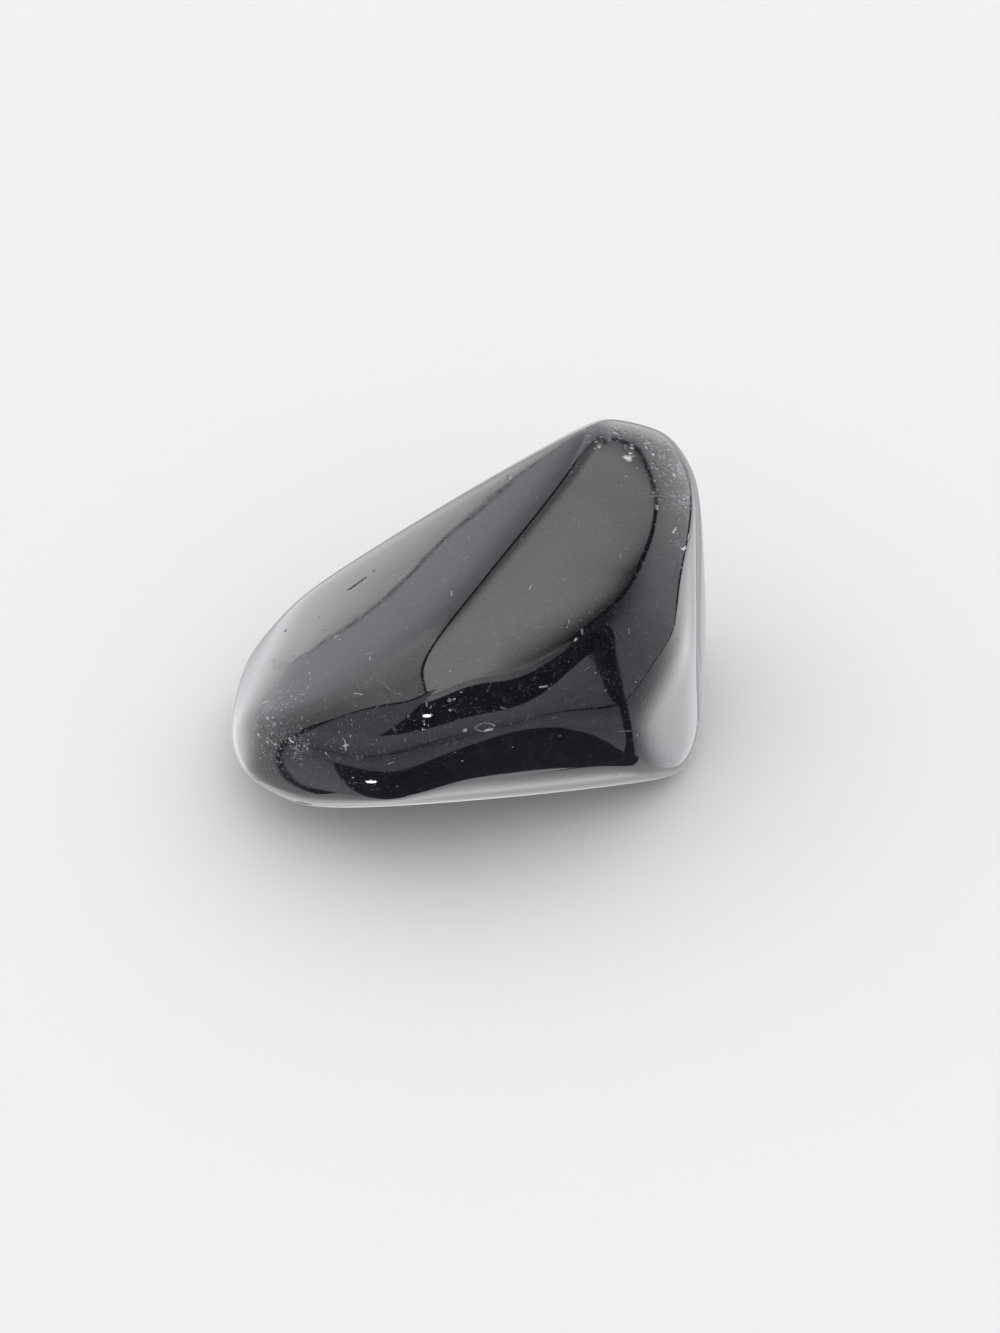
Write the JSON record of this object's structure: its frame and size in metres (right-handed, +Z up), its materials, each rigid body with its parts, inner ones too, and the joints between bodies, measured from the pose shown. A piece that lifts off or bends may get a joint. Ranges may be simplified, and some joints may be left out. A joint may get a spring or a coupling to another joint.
{
  "type": "tumbled obsidian stone",
  "caption": "Polished black obsidian pebble with soft facets: a pointed left end, a high right corner, a front that leans over its foot and a small flat resting patch.",
  "frame": {"origin": "centre of the stone's bounding box at the surface that it rests on", "axes": "+Z up, +X along the longest side towards the high corner, -Y towards the front that the picture shows"},
  "size_m": [0.0274, 0.0232, 0.016],
  "materials": {
    "obsidian": "tumbled to a high glassy polish, opaque black, with fine whitish pits and scratches"
  },
  "bodies": {
    "root": {"obsidian_stone": "obsidian"}
  },
  "joints": []
}
